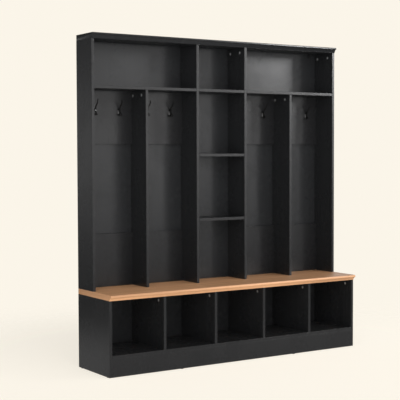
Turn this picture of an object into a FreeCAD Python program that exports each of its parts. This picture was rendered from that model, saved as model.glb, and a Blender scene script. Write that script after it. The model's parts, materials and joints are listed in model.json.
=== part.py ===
import FreeCAD, Part
import math
import os
from collections import defaultdict
from FreeCAD import Placement, Rotation, Vector

# A free-standing mudroom locker unit. A deep bench of five open cubbies carries a thick nosed
# wooden top, and a shallower hutch of five bays stands on it: two hook bays, a shelf column and
# two hook bays, with a row of compartments above them under a nosed crown board.
# Millimetres, +Z up, +X to the right of someone facing it, front towards -Y.
# The origin is on the floor, under the middle of the unit.

# Carcass
total_width = 1656.0        # over the outer sides
board = 16.0                # faced board of the carcass
back_thick = 5.0            # thin back panels
rebate_width = 8.0          # lap of the back panels into the outer sides
arris = 1.0                 # eased front edges
total_height = 1800.0
seat_height = 433.0         # top of the bench top
bench_depth = 354.0         # bench carcass, front edge to rear
hutch_depth = 175.0         # hutch carcass, front edge to rear
upper_clear = 245.0         # clear height of the compartments under the crown
plinth_height = 97.0

# Nosed tops: a rounded lip at the front, a quirk under it and a hollow back to a small toe
bench_top_thick = 30.0
crown_thick = 30.0
nosing = 20.0               # of the lip in front of the carcass below it
bench_lip = 14.0
crown_lip = 11.0
lip_round = 6.0
lip_round_limit_share = 0.55
lip_under_round = 4.0
lip_under_limit_share = 0.35
quirk = 2.0
toe_reach = 2.0
toe_rise = 3.0
cove_hollow_share = 0.05    # of the span: the hollow is slight

# Rails across the back of the hook bays
hook_rail_height = 294.0
foot_rail_height = 292.0

# Clearances
slip = 0.1                  # round a pin, dowel, bolt or screw
end_gap = 0.3               # past the end of a blind hole
panel_gap = 1.0             # between neighbouring back panels and round them
overrun = 2.0               # how far a cut passes the face that it starts from

# Loose shelves on pins
shelf_side_gap = 1.0
shelf_rear_gap = 2.0
shelf_seat_gap = 0.2
shelf_pin_diameter = 5.0
shelf_pin_bite = 9.0
shelf_pin_inset = 34.0      # from the shelf's front and rear edges
shelf_lug_reach = 8.0
shelf_lug_width = 9.0
shelf_lug_height = 6.0

# Cam locks and their bolts
cam_diameter = 15.0
cam_depth = 12.0
cam_setback = 27.0          # from the cam's axis to the joint that it pulls up
cam_recess = 0.3
cam_slot_width = 1.8
cam_slot_length = 9.0
cam_slot_depth = 3.0
bolt_shank = 5.0
bolt_head = 7.0
bolt_head_length = 5.0
bolt_bore = 8.0
bolt_bite = 11.0            # into the board that the cam pulls up
hutch_cam_rear = 33.0       # from the rear of the unit
hutch_cam_front = 46.0      # from the front edge of the hutch
shelf_cam_shift = 26.0      # keeps the centre shelf's bolts clear of its neighbours'
bench_cam_inset = 54.0      # from the bench's front edge and rear

# Dowels
dowel_diameter = 8.0
dowel_face_bite = 11.0
dowel_edge_bite = 19.0
left_end_shares = (0.18, 0.82)
right_end_shares = (0.32, 0.68)
plinth_top_shares = (0.08, 0.43, 0.92)

# Screws: shank, head and length of each kind
hook_screw_shank, hook_screw_head, hook_screw_length = 3.5, 6.0, 17.0
rail_screw_shank, rail_screw_head, rail_screw_length = 5.0, 9.0, 60.0
floor_screw_shank, floor_screw_head, floor_screw_length = 5.0, 9.0, 50.0
back_screw_shank, back_screw_head, back_screw_length = 3.0, 6.0, 18.0
bracket_screw_shank, bracket_screw_head, bracket_screw_length = 3.5, 6.6, 16.0
recess_width_share, recess_length_share, recess_depth_share = 0.13, 0.62, 0.16
floor_screw_inset = 80.0    # from the bench's front edge and rear
rail_screw_shares = (0.22, 0.78)
middle_screw_shares = (0.06, 0.50, 0.94)
upper_screw_shares = (0.20, 0.80)
bench_back_screw_shares = (0.15, 0.50, 0.85)

# Coat hooks: a plate, a boss, a tall upper prong and a short curled one with a ball
hook_spacing = 150.0        # between the two hooks of a bay
hook_drop = 116.0           # from the shelf above down to the plate's middle
hook_plate_width = 20.0
hook_plate_height = 34.0
hook_plate_thick = 4.0
hook_plate_round = 1.8
hook_screw_spread = 10.0    # between the plate's two screws, side by side
hook_boss_radius = 5.2
hook_boss_reach = 10.0
hook_boss_rise = 12.0       # of the boss above the plate's middle
prong_radius = 3.3
prong_tip_radius = 4.2
prong_rise = 61.0           # of the upper tip above the plate's middle
prong_reach = 38.0          # of the upper tip in front of the rail
curl_radius = 3.0
curl_tip_radius = 6.6
curl_reach = 19.0           # of the ball in front of the rail
curl_drop = 14.0            # of the ball below the plate's middle
curl_bend_shares = (0.35, 0.62)

# Floor glides
glide_height = 3.0
glide_diameter = 14.0
glide_pin_diameter = 2.4
glide_pin_length = 12.0
glide_inset = 30.0
glide_plinth_shares = (0.27, 0.73)

# Brackets that hold the unit to a wall
bracket_leg = 26.0
bracket_width = 18.0
bracket_thick = 2.0
bracket_inset = 46.0        # from the inside of the outer sides to the bracket's middle
bracket_hole = 5.0
bracket_hole_drop = 16.0    # below the crown
bracket_screw_share = 0.58

# Names from left to right
bench_uprights = ["bench_side_left", "bench_divider_1", "bench_divider_2",
                  "bench_divider_3", "bench_divider_4", "bench_side_right"]
hutch_uprights = ["hutch_side_left", "bay_divider_left", "tall_divider_left",
                  "tall_divider_right", "bay_divider_right", "hutch_side_right"]
last = len(hutch_uprights) - 1
shelf_bay = hutch_uprights.index("tall_divider_left")
hook_bays = [k for k in range(last) if k != shelf_bay]

# Places worked out from the sizes
pitch = (total_width - board) / last
bay_clear = pitch - board
x_left, x_right = -total_width / 2, total_width / 2
y_rear = (bench_depth + nosing) / 2
y_back = y_rear - back_thick
y_hutch = y_rear - hutch_depth
y_bench = y_rear - bench_depth
z_floor_under = glide_height + plinth_height
z_floor = z_floor_under + board
z_bench = seat_height - bench_top_thick
z_crown = total_height - crown_thick
z_shelf = z_crown - upper_clear - board
z_hook_rail = z_shelf - hook_rail_height
z_over_foot_rail = seat_height + foot_rail_height
y_rail = y_back - board
y_rail_middle = y_back - board / 2

RIGHT, LEFT = Vector(1, 0, 0), Vector(-1, 0, 0)
REAR, FRONT = Vector(0, 1, 0), Vector(0, -1, 0)
UP, DOWN = Vector(0, 0, 1), Vector(0, 0, -1)
ORIGIN = Vector(0, 0, 0)

boards = {}                  # node name to its solid before drilling
cuts = defaultdict(list)     # node name to what is cut out of it
groups = defaultdict(list)   # node name to its separate fasteners


def left_face(i):
    """The x of an upright's left face."""
    return x_left + i * pitch


def right_face(i):
    return left_face(i) + board


def middle(i):
    return left_face(i) + board / 2


def block(x0, x1, y0, y1, z0, z1):
    return Part.makeBox(x1 - x0, y1 - y0, z1 - z0, Vector(x0, y0, z0))


def eased(shape, y_front):
    """Rounds the edges of a board's front face."""
    def on_front(edge):
        return all(abs(v.Point.y - y_front) < slip for v in edge.Vertexes)
    return shape.makeFillet(min(arris, board / 3), [e for e in shape.Edges if on_front(e)])


def add_board(name, x0, x1, y0, y1, z0, z1):
    boards[name] = eased(block(x0, x1, y0, y1, z0, z1), y0)


def placed(shape, origin, z_dir, x_dir):
    """A copy of a shape, with its own Z and X turned to the given directions."""
    copy = shape.copy()
    turn = Rotation(x_dir, z_dir.cross(x_dir), z_dir, "ZXY")
    copy.Placement = Placement(origin, turn) * shape.Placement
    return copy


def fasten(node, pair, origin, z_dir, x_dir, into):
    """Puts a fastener in its place and cuts its hole in the pieces that it joins."""
    solid, hole = pair
    groups[node].append(placed(solid, origin, z_dir, x_dir))
    for name in into:
        cuts[name].append(placed(hole, origin, z_dir, x_dir))


def tube(radius, start, end, direction=UP):
    """A round bar from start to end along a direction through the origin."""
    return Part.makeCylinder(radius, end - start, direction * start, direction)


def cross(narrow, wide, deep):
    """A crossed driver slot, cut down from the origin."""
    arms = [block(-a / 2, a / 2, -b / 2, b / 2, -deep, overrun) for a, b in ((narrow, wide), (wide, narrow))]
    return arms[0].fuse(arms[1])


# Fasteners: each is made once, with the hole that it needs

def screw_pair(shank, head, length):
    """A countersunk screw along +Z from its flush head at the origin."""
    sink = (head - shank) / 2
    cone = Part.makeCone(head / 2, shank / 2, sink)
    slot = cross(head * recess_width_share, head * recess_length_share, head * recess_depth_share)
    slot.rotate(ORIGIN, RIGHT, 180)
    solid = cone.fuse(tube(shank / 2, sink, length)).removeSplitter().cut(slot)
    mouth = Part.makeCone(head / 2 + slip + overrun, shank / 2 + slip, sink + overrun, DOWN * overrun)
    return solid, mouth.fuse(tube(shank / 2 + slip, sink, length + end_gap))


def dowel_pair():
    """A dowel along Z through a joint at the origin, with its longer half towards +Z."""
    radius = dowel_diameter / 2
    solid = tube(radius, -dowel_face_bite, dowel_edge_bite)
    return solid, tube(radius + slip, -dowel_face_bite - end_gap, dowel_edge_bite + end_gap)


def cam_pair():
    """A cam let into the face at the origin, with +Z out of that face, and its bolt along +X."""
    radius, core = cam_diameter / 2, DOWN * (board / 2)
    bottom = -cam_recess - cam_depth
    cam = tube(radius, bottom, -cam_recess)
    throat = tube(bolt_head / 2 + slip, -bolt_head_length, radius + overrun, RIGHT)
    throat.translate(core)
    slot = cross(cam_slot_width, cam_slot_length, cam_slot_depth)
    slot.translate(DOWN * cam_recess)
    head = tube(bolt_head / 2, -bolt_head_length / 2, bolt_head_length / 2, RIGHT)
    shank = tube(bolt_shank / 2, bolt_head_length / 2, cam_setback + bolt_bite, RIGHT)
    bolt = head.fuse(shank)
    bolt.translate(core)
    bore = tube(bolt_bore / 2, 0, cam_setback, RIGHT)
    seat = tube(bolt_shank / 2 + slip, 0, cam_setback + bolt_bite + end_gap, RIGHT)
    drilled = bore.fuse(seat)
    drilled.translate(core)
    pocket = tube(radius + slip, bottom - end_gap, overrun)
    return cam.cut(throat).cut(slot), bolt, pocket.fuse(drilled)


DOWEL = dowel_pair()
CAM, BOLT, CAM_HOLE = cam_pair()


def cam_joint(unit, panel, receiver, point, outward, towards):
    """A cam in a panel's face, and the bolt that it pulls out of the board that it meets."""
    fasten("cam_locks_" + unit, (CAM, CAM_HOLE), point, outward, towards, [panel, receiver])
    groups["cam_bolts_" + unit].append(placed(BOLT, point, outward, towards))


# Boards

def bench_carcass():
    for i, name in enumerate(bench_uprights):
        outer = i in (0, last)
        add_board(name, left_face(i), right_face(i), y_bench, y_rear if outer else y_back,
                  glide_height if outer else z_floor, z_bench)
    inside = right_face(0), left_face(last)
    add_board("bench_bottom_board", *inside, y_bench, y_back, z_floor_under, z_floor)
    add_board("plinth_front", *inside, y_bench, y_bench + board, glide_height, z_floor_under)
    add_board("plinth_rear", *inside, y_back - board, y_back, glide_height, z_floor_under)
    for n, i in enumerate((shelf_bay, shelf_bay + 1), start=1):
        boards[f"plinth_brace_{n}"] = block(left_face(i), right_face(i), y_bench + board,
                                            y_back - board, glide_height, z_floor_under)
    boards["bench_back"] = back_panel(0, last, z_floor_under, z_bench)


def hutch_carcass():
    for i, name in enumerate(hutch_uprights):
        under_shelf = name.startswith("bay")
        add_board(name, left_face(i), right_face(i), y_hutch, y_rear if i in (0, last) else y_back,
                  seat_height, z_shelf if under_shelf else z_crown)
    for name, i, j in upper_shelves():
        add_board(name, right_face(i), left_face(j), y_hutch, y_back, z_shelf, z_shelf + board)
    for k in hook_bays:
        across = right_face(k), left_face(k + 1), y_rail, y_back
        add_board(f"hook_rail_{k + 1}", *across, z_hook_rail, z_shelf)
        add_board(f"foot_rail_{k + 1}", *across, seat_height, z_over_foot_rail)
    for name, i, j in (("left", 0, shelf_bay), ("centre", shelf_bay, shelf_bay + 1),
                       ("right", shelf_bay + 1, last)):
        boards["hutch_back_" + name] = back_panel(i, j, seat_height, z_crown)


def upper_shelves():
    """Each shelf under the crown, with the uprights at its two ends."""
    return (("upper_shelf_left", 0, shelf_bay), ("upper_shelf_centre", shelf_bay, shelf_bay + 1),
            ("upper_shelf_right", shelf_bay + 1, last))


def back_panel(i, j, z0, z1):
    """A thin panel from upright i to upright j, let into the outer sides and halving inner ones."""
    x0 = right_face(i) - rebate_width + panel_gap if i == 0 else middle(i) + panel_gap / 2
    x1 = left_face(j) + rebate_width - panel_gap if j == last else middle(j) - panel_gap / 2
    return block(x0, x1, y_back, y_rear, z0, z1)


def rebates():
    """The step down the rear inner edge of each outer side, which the back panels lie in."""
    for names, z0, z1 in ((bench_uprights, glide_height, z_bench), (hutch_uprights, seat_height, z_crown)):
        low, high = z0 - overrun, z1 + overrun
        cuts[names[0]].append(block(right_face(0) - rebate_width, right_face(0) + overrun,
                                    y_back, y_rear + overrun, low, high))
        cuts[names[last]].append(block(left_face(last) - overrun, left_face(last) + rebate_width,
                                       y_back, y_rear + overrun, low, high))


def nosed_board(y_front, z_under, thick, lip):
    """A top board whose front is moulded: a toe, a hollow, a quirk and a rounded lip."""
    def at(reach, rise):
        return Vector(x_left, y_front - reach, z_under + rise)
    over = min(lip_round, lip * lip_round_limit_share)
    under = min(lip_under_round, lip * lip_under_limit_share)
    toe, toe_top = at(toe_reach, 0), at(toe_reach, toe_rise)
    cove_end, lip_under = at(nosing - under - quirk, thick - lip), at(nosing - under, thick - lip)
    lip_low, lip_high = at(nosing, thick - lip + under), at(nosing, thick - over)
    crest = at(nosing - over, thick)
    chord = cove_end - toe_top
    hollow = (toe_top + cove_end) / 2 + chord.cross(RIGHT) * cove_hollow_share
    low_turn = at(nosing - under, thick - lip + under) + (FRONT + DOWN) * (under * math.sqrt(1 / 2))
    high_turn = at(nosing - over, thick - over) + (FRONT + UP) * (over * math.sqrt(1 / 2))
    corners = [crest, at(y_front - y_rear, thick), at(y_front - y_rear, 0), toe, toe_top]
    edges = [Part.LineSegment(a, b) for a, b in zip(corners, corners[1:])]
    edges += [Part.Arc(toe_top, hollow, cove_end), Part.LineSegment(cove_end, lip_under),
              Part.Arc(lip_under, low_turn, lip_low), Part.LineSegment(lip_low, lip_high),
              Part.Arc(lip_high, high_turn, crest)]
    return Part.Face(Part.Wire([e.toShape() for e in edges])).extrude(RIGHT * total_width)


def loose_shelves():
    """Two shelves that part the middle column evenly, each lying on four pins."""
    x0, x1 = right_face(shelf_bay), left_face(shelf_bay + 1)
    clear = (z_shelf - seat_height - 2 * board) / 3
    y0, y1 = y_hutch, y_back - shelf_rear_gap
    for n, name in enumerate(("loose_shelf_lower", "loose_shelf_upper"), start=1):
        under = seat_height + n * clear + (n - 1) * board
        add_board(name, x0 + shelf_side_gap, x1 - shelf_side_gap, y0, y1, under, under + board)
        for y in (y0 + shelf_pin_inset, y1 - shelf_pin_inset):
            top = under - shelf_seat_gap
            fasten("shelf_pins", SHELF_PIN, Vector(x0, y, top), UP, RIGHT, [hutch_uprights[shelf_bay]])
            fasten("shelf_pins", SHELF_PIN, Vector(x1, y, top), UP, LEFT, [hutch_uprights[shelf_bay + 1]])


def shelf_pin_pair():
    """A pin with a flat-topped lug at the origin: the lug along +X, the pin into the upright."""
    axis = DOWN * (shelf_lug_height / 2)
    lug = block(0, shelf_lug_reach, -shelf_lug_width / 2, shelf_lug_width / 2, -shelf_lug_height, 0)
    pin = tube(shelf_pin_diameter / 2, -shelf_pin_bite, shelf_lug_reach / 2, RIGHT)
    hole = tube(shelf_pin_diameter / 2 + slip, -shelf_pin_bite - end_gap, overrun, RIGHT)
    pin.translate(axis)
    hole.translate(axis)
    return lug.fuse(pin).removeSplitter(), hole


SHELF_PIN = shelf_pin_pair()


# Joints between the boards

def cam_joints():
    bench_rows = (y_bench + bench_cam_inset, y_rear - bench_cam_inset)
    hutch_rows = (y_hutch + hutch_cam_front, y_rear - hutch_cam_rear)
    for i, name in enumerate(bench_uprights):
        face, outward = (right_face(i), RIGHT) if i == 0 else (left_face(i), LEFT)
        for y in bench_rows:
            cam_joint("bench", name, "bench_top", Vector(face, y, z_bench - cam_setback), outward, UP)
    for end, outward in ((0, LEFT), (last, RIGHT)):
        face = right_face(end) if end == 0 else left_face(end)
        for y in bench_rows:
            point = Vector(face, y, z_floor_under) - outward * cam_setback
            cam_joint("bench", "bench_bottom_board", bench_uprights[end], point, DOWN, outward)
    for i, name in enumerate(hutch_uprights):
        face, outward = (right_face(i), RIGHT) if i in (0, shelf_bay) else (left_face(i), LEFT)
        top, receiver = z_crown, "crown_board"
        if name.startswith("bay"):
            top, receiver = z_shelf, "upper_shelf_left" if i < shelf_bay else "upper_shelf_right"
        for y in hutch_rows:
            cam_joint("hutch", name, receiver, Vector(face, y, top - cam_setback), outward, UP)
    for name, i, j in upper_shelves():
        shift = shelf_cam_shift if i == shelf_bay else 0
        for y in (hutch_rows[0] + shift, hutch_rows[1] - shift):
            for end, face, towards in ((i, right_face(i), LEFT), (j, left_face(j), RIGHT)):
                point = Vector(face, y, z_shelf) - towards * cam_setback
                cam_joint("hutch", name, hutch_uprights[end], point, DOWN, towards)


def rail_joints():
    """Dowels at the ends of the rails, and screws up through the bench top into the foot rails."""
    screw = screw_pair(rail_screw_shank, rail_screw_head, rail_screw_length)
    for k in hook_bays:
        ends = ((right_face(k), RIGHT, hutch_uprights[k], left_end_shares),
                (left_face(k + 1), LEFT, hutch_uprights[k + 1], right_end_shares))
        for name, low, height in ((f"hook_rail_{k + 1}", z_hook_rail, hook_rail_height),
                                  (f"foot_rail_{k + 1}", seat_height, foot_rail_height)):
            for x, inward, upright, shares in ends:
                for share in shares:
                    point = Vector(x, y_rail_middle, low + share * height)
                    fasten("dowels_hutch", DOWEL, point, inward, UP, [name, upright])
        for share in rail_screw_shares:
            point = Vector(right_face(k) + share * bay_clear, y_rail_middle, z_bench)
            fasten("foot_rail_screws", screw, point, UP, RIGHT, ["bench_top", f"foot_rail_{k + 1}"])


def standing_joints():
    """Dowels under the hutch uprights, and screws up through the cubby floor into the dividers."""
    screw = screw_pair(floor_screw_shank, floor_screw_head, floor_screw_length)
    for i, name in enumerate(hutch_uprights):
        for y in (y_hutch + hutch_cam_front, y_rear - hutch_cam_rear):
            fasten("dowels_hutch", DOWEL, Vector(middle(i), y, seat_height), UP, RIGHT, [name, "bench_top"])
    for i, name in enumerate(bench_uprights[1:-1], start=1):
        for y in (y_bench + floor_screw_inset, y_rear - floor_screw_inset):
            fasten("cubby_floor_screws", screw, Vector(middle(i), y, z_floor_under), UP, RIGHT,
                   ["bench_bottom_board", name])


def plinth_joints():
    for name, y in (("plinth_front", y_bench + board / 2), ("plinth_rear", y_back - board / 2)):
        for x, inward, side in ((right_face(0), RIGHT, bench_uprights[0]),
                                (left_face(last), LEFT, bench_uprights[last])):
            for share in right_end_shares:
                point = Vector(x, y, glide_height + share * plinth_height)
                fasten("dowels_bench", DOWEL, point, inward, UP, [name, side])
        for share in plinth_top_shares:
            point = Vector(x_left + share * total_width, y, z_floor_under)
            fasten("dowels_bench", DOWEL, point, DOWN, RIGHT, [name, "bench_bottom_board"])
    z = glide_height + plinth_height / 2
    for n, i in enumerate((shelf_bay, shelf_bay + 1), start=1):
        for y, inward, plinth in ((y_bench + board, REAR, "plinth_front"),
                                  (y_back - board, FRONT, "plinth_rear")):
            point = Vector(middle(i), y, z)
            fasten("dowels_bench", DOWEL, point, inward, UP, [f"plinth_brace_{n}", plinth])


def back_screws():
    """Small screws through the back panels into the uprights, clear of the rails' dowels."""
    screw = screw_pair(back_screw_shank, back_screw_head, back_screw_length)
    lap = rebate_width / 2

    def column(x, low, high, shares, into):
        for share in shares:
            fasten("back_screws", screw, Vector(x, y_rear, low + share * (high - low)), FRONT, RIGHT, into)

    for i, name in enumerate(bench_uprights):
        x = {0: right_face(0) - lap, last: left_face(last) + lap}.get(i, middle(i))
        column(x, z_floor, z_bench, bench_back_screw_shares, ["bench_back", name])
    runs = (("hutch_back_left", 0, shelf_bay), ("hutch_back_centre", shelf_bay, shelf_bay + 1),
            ("hutch_back_right", shelf_bay + 1, last))
    for panel, i, j in runs:
        for k in range(i, j + 1):
            x = right_face(k) - lap if k == i else left_face(k) + lap if k == j else middle(k)
            column(x, z_over_foot_rail, z_hook_rail, middle_screw_shares, [panel, hutch_uprights[k]])
            if not hutch_uprights[k].startswith("bay"):
                column(x, z_shelf + board, z_crown, upper_screw_shares, [panel, hutch_uprights[k]])


# Coat hooks

def hook_point(reach, rise, side=0):
    """A place on a hook, from the middle of its plate on the rail's face."""
    return Vector(side, -reach, rise)


def bar(radius, arcs):
    """A round bar bent along arcs that run on from each other."""
    path = Part.Wire([arc.toShape() for arc in arcs])
    first = path.Edges[0]
    begin = first.FirstParameter
    ring = Part.makeCircle(radius, first.valueAt(begin), first.tangentAt(begin))
    return path.makePipeShell([Part.Wire(ring)], True, True)


def upright_s(start, end):
    """Two equal arcs that leave the start upwards, lean out and arrive at the end upwards."""
    halfway = (start + end) / 2
    chord = halfway - start
    lean = math.atan2(-chord.y, chord.z)
    sag = chord.cross(RIGHT) * (math.tan(lean / 2) / 2)
    return [Part.Arc(start, (start + halfway) / 2 + sag, halfway),
            Part.Arc(halfway, (halfway + end) / 2 - sag, end)]


def hook_plate():
    """An upright plate with round ends and a softened front edge."""
    radius = hook_plate_width / 2
    straight = hook_plate_height / 2 - radius
    corners = [hook_point(0, r * straight, s * radius) for s, r in ((-1, -1), (-1, 1), (1, 1), (1, -1))]
    edges = [Part.LineSegment(corners[0], corners[1]),
             Part.Arc(corners[1], hook_point(0, straight + radius), corners[2]),
             Part.LineSegment(corners[2], corners[3]),
             Part.Arc(corners[3], hook_point(0, -straight - radius), corners[0])]
    slab = Part.Face(Part.Wire([e.toShape() for e in edges])).extrude(FRONT * hook_plate_thick)
    front = [e for e in slab.Edges if all(abs(v.Point.y + hook_plate_thick) < slip for v in e.Vertexes)]
    return slab.makeFillet(min(hook_plate_round, hook_plate_thick / 2), front)


def coat_hook():
    root = hook_point(hook_boss_reach, hook_boss_rise)
    tip = hook_point(prong_reach, prong_rise)
    ball = hook_point(curl_reach, -curl_drop)
    reach_share, drop_share = curl_bend_shares
    bend = hook_point(hook_boss_reach + (curl_reach - hook_boss_reach) * reach_share,
                      hook_boss_rise - (curl_drop + hook_boss_rise) * drop_share)
    boss = Part.makeCylinder(hook_boss_radius, hook_boss_reach, hook_point(0, hook_boss_rise), FRONT)
    pieces = [boss, Part.makeSphere(hook_boss_radius, root),
              bar(prong_radius, upright_s(root, tip)), Part.makeSphere(prong_tip_radius, tip),
              bar(curl_radius, [Part.Arc(root, bend, ball)]), Part.makeSphere(curl_tip_radius, ball)]
    return hook_plate().multiFuse(pieces).removeSplitter()


def coat_hooks():
    shape = coat_hook()
    screw = screw_pair(hook_screw_shank, hook_screw_head, hook_screw_length)
    number = 0
    for k in hook_bays:
        for side in (-1, 1):
            number += 1
            name = f"coat_hook_{number}"
            x = (right_face(k) + left_face(k + 1) + side * hook_spacing) / 2
            place = Vector(x, y_rail, z_shelf - hook_drop)
            boards[name] = placed(shape, place, UP, RIGHT)
            for across in (-hook_screw_spread / 2, hook_screw_spread / 2):
                point = place + hook_point(hook_plate_thick, 0, across)
                fasten("hook_screws", screw, point, REAR, RIGHT, [name, f"hook_rail_{k + 1}"])


# Feet and wall brackets

def floor_glides():
    """Nailed glides under the outer sides and the plinths."""
    disc = tube(glide_diameter / 2, 0, glide_height)
    solid = disc.fuse(tube(glide_pin_diameter / 2, glide_height, glide_height + glide_pin_length))
    hole = tube(glide_pin_diameter / 2 + slip, 0, glide_height + glide_pin_length + end_gap)
    for i in (0, last):
        for y in (y_bench + glide_inset, y_rear - glide_inset):
            fasten("floor_glides", (solid, hole), Vector(middle(i), y, 0), UP, RIGHT, [bench_uprights[i]])
    for name, y in (("plinth_front", y_bench + board / 2), ("plinth_rear", y_back - board / 2)):
        for share in glide_plinth_shares:
            point = Vector(x_left + share * total_width, y, 0)
            fasten("floor_glides", (solid, hole), point, UP, RIGHT, [name])


def wall_brackets():
    """An angle under each end of the crown, against the back, with a hole for a wall screw."""
    screw = screw_pair(bracket_screw_shank, bracket_screw_head, bracket_screw_length)
    offset = left_face(last) - bracket_inset
    for name, back, x in (("wall_bracket_left", "hutch_back_left", -offset),
                          ("wall_bracket_right", "hutch_back_right", offset)):
        x0, x1 = x - bracket_width / 2, x + bracket_width / 2
        flat = block(x0, x1, y_back - bracket_leg, y_back, z_crown - bracket_thick, z_crown)
        upright = block(x0, x1, y_back - bracket_thick, y_back, z_crown - bracket_leg, z_crown)
        boards[name] = flat.fuse(upright).removeSplitter()
        hole = Part.makeCylinder(bracket_hole / 2, bracket_leg + back_thick + overrun,
                                 Vector(x, y_back - bracket_leg, z_crown - bracket_hole_drop), REAR)
        cuts[name].append(hole)
        cuts[back].append(hole)
        point = Vector(x, y_back - bracket_leg * bracket_screw_share, z_crown - bracket_thick)
        fasten("wall_bracket_screws", screw, point, UP, RIGHT, [name, "crown_board"])


def write_parts():
    os.makedirs("parts", exist_ok=True)
    for name, shape in boards.items():
        if cuts[name]:
            shape = shape.cut(Part.makeCompound(cuts[name]))
        if len(shape.Solids) != 1 or not shape.isValid():
            print("check", name, len(shape.Solids), shape.isValid())
        shape.Solids[0].exportStep(f"parts/{name}.step")
    for name, solids in groups.items():
        Part.makeCompound([s.Solids[0] for s in solids]).exportStep(f"parts/{name}.step")
    print(len(boards) + len(groups), "nodes,", len(boards) + sum(map(len, groups.values())), "solids")


bench_carcass()
hutch_carcass()
rebates()
boards["bench_top"] = nosed_board(y_bench, z_bench, bench_top_thick, bench_lip)
boards["crown_board"] = nosed_board(y_hutch, z_crown, crown_thick, crown_lip)
loose_shelves()
cam_joints()
rail_joints()
standing_joints()
plinth_joints()
back_screws()
coat_hooks()
floor_glides()
wall_brackets()
write_parts()
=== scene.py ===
# %% [markdown]
# # A black mudroom locker with an oak bench
#
# The real thing is a hall unit of black satin boards. Five open cubbies carry an oak seat, and a shallower
# hutch stands on it: bays for coats, a column of shelves, and a row of compartments under a moulded crown.
# The boards, fixings and fittings come as CAD solids. This lesson loads them as a frame that stays put,
# gives every one of them its finish, and remodels the pieces that CAD leaves too plain.

# %% Load the frame
import json
import math

import bmesh
import bpy
from mathutils import Matrix, Vector


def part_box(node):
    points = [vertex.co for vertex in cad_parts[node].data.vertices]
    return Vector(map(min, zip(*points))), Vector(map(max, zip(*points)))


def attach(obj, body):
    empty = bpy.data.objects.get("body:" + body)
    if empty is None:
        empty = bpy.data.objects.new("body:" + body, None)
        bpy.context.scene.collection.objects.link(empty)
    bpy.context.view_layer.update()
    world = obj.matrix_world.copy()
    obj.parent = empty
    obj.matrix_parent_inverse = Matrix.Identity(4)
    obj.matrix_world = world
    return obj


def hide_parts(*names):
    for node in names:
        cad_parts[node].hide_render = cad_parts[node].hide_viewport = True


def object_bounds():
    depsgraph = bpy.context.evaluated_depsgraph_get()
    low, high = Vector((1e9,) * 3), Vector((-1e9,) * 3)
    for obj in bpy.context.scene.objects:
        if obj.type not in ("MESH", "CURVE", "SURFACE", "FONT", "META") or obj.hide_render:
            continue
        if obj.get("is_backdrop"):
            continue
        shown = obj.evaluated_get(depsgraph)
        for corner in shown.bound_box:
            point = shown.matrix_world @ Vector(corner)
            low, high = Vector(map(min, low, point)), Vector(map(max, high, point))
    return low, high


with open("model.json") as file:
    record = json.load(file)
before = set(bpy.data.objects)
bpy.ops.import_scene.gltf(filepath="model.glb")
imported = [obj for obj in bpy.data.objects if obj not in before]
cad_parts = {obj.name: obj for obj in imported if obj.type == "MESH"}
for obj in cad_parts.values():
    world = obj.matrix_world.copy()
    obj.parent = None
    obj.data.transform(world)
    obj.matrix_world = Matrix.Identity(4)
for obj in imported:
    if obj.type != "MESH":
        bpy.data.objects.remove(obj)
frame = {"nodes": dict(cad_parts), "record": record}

scene = bpy.context.scene
cad_nodes = frame["nodes"]
cad_low, cad_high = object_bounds()
print("frame:", len(cad_nodes), "nodes, size", [round(v, 4) for v in cad_high - cad_low])

# %% [markdown]
# ## The camera
#
# The photograph was taken from in front and well to the left, from about two thirds of the unit's height,
# with a long lens, so uprights stay almost parallel. A camera could be nudged by eye until the edges fall
# in place. Here its place and its three angles were worked out from the corners of the unit, and are
# written as they are.

# %% Camera
photo_pixels = 400
focal_pixels = 1059.963
sensor_width = 36.0                              # millimetres, as Blender counts a sensor
camera_place = (-3.39897, -4.97820, 1.16739)     # metres
turn_right, tilt_up, roll = 33.0567, -2.5599, -0.1846    # degrees
quarter_turn = math.radians(90)

lens = bpy.data.cameras.new("photo_camera")
lens.sensor_width = sensor_width
lens.lens = focal_pixels / photo_pixels * sensor_width
camera = bpy.data.objects.new("photo_camera", lens)
aim = (Matrix.Rotation(math.radians(-turn_right), 3, "Z")
       @ Matrix.Rotation(quarter_turn + math.radians(tilt_up), 3, "X")
       @ Matrix.Rotation(math.radians(roll), 3, "Z"))
camera.location = camera_place
camera.rotation_euler = aim.to_euler()
scene.collection.objects.link(camera)
scene.camera = camera
scene.view_settings.view_transform = "Standard"
print("camera: lens", round(lens.lens, 2), "mm")

# %% [markdown]
# ## Helpers for node trees
#
# Every finish below is a tree of shader nodes. Wiring each node by hand takes four or five lines, and the
# lines hide the idea. These helpers add a node, set or link its sockets and hand back an output, so that a
# finish reads from top to bottom like a recipe.

# %% Nodes and sums


def add_node(tree, kind, sockets=None, **settings):
    """Adds a node. A socket that is given another node's output is linked, and any other value is set."""
    made = tree.nodes.new("ShaderNode" + kind)
    for name, value in settings.items():
        setattr(made, name, value)
    for name, value in (sockets or {}).items():
        if isinstance(value, bpy.types.NodeSocket):
            tree.links.new(value, made.inputs[name])
        else:
            made.inputs[name].default_value = value
    return made


def calc(tree, operation, first, second=0.0, third=0.0):
    """The output of a Math node."""
    return add_node(tree, "Math", {0: first, 1: second, 2: third}, operation=operation).outputs[0]


def product(tree, *factors):
    """All the factors multiplied together."""
    total = factors[0]
    for factor in factors[1:]:
        total = calc(tree, "MULTIPLY", total, factor)
    return total


def eased(tree, value, start, end, low=0.0, high=1.0):
    """Takes a value smoothly from low to high while it goes from start to end."""
    limits = {"Value": value, "From Min": start, "From Max": end, "To Min": low, "To Max": high}
    return add_node(tree, "MapRange", limits, interpolation_type="SMOOTHSTEP").outputs["Result"]


print("helpers for nodes and sums: add_node, calc, product, eased")

# %% Mixes
mix_sockets = {"FLOAT": (2, 3, 0), "VECTOR": (4, 5, 1), "RGBA": (6, 7, 2)}    # two inputs and the output


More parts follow.
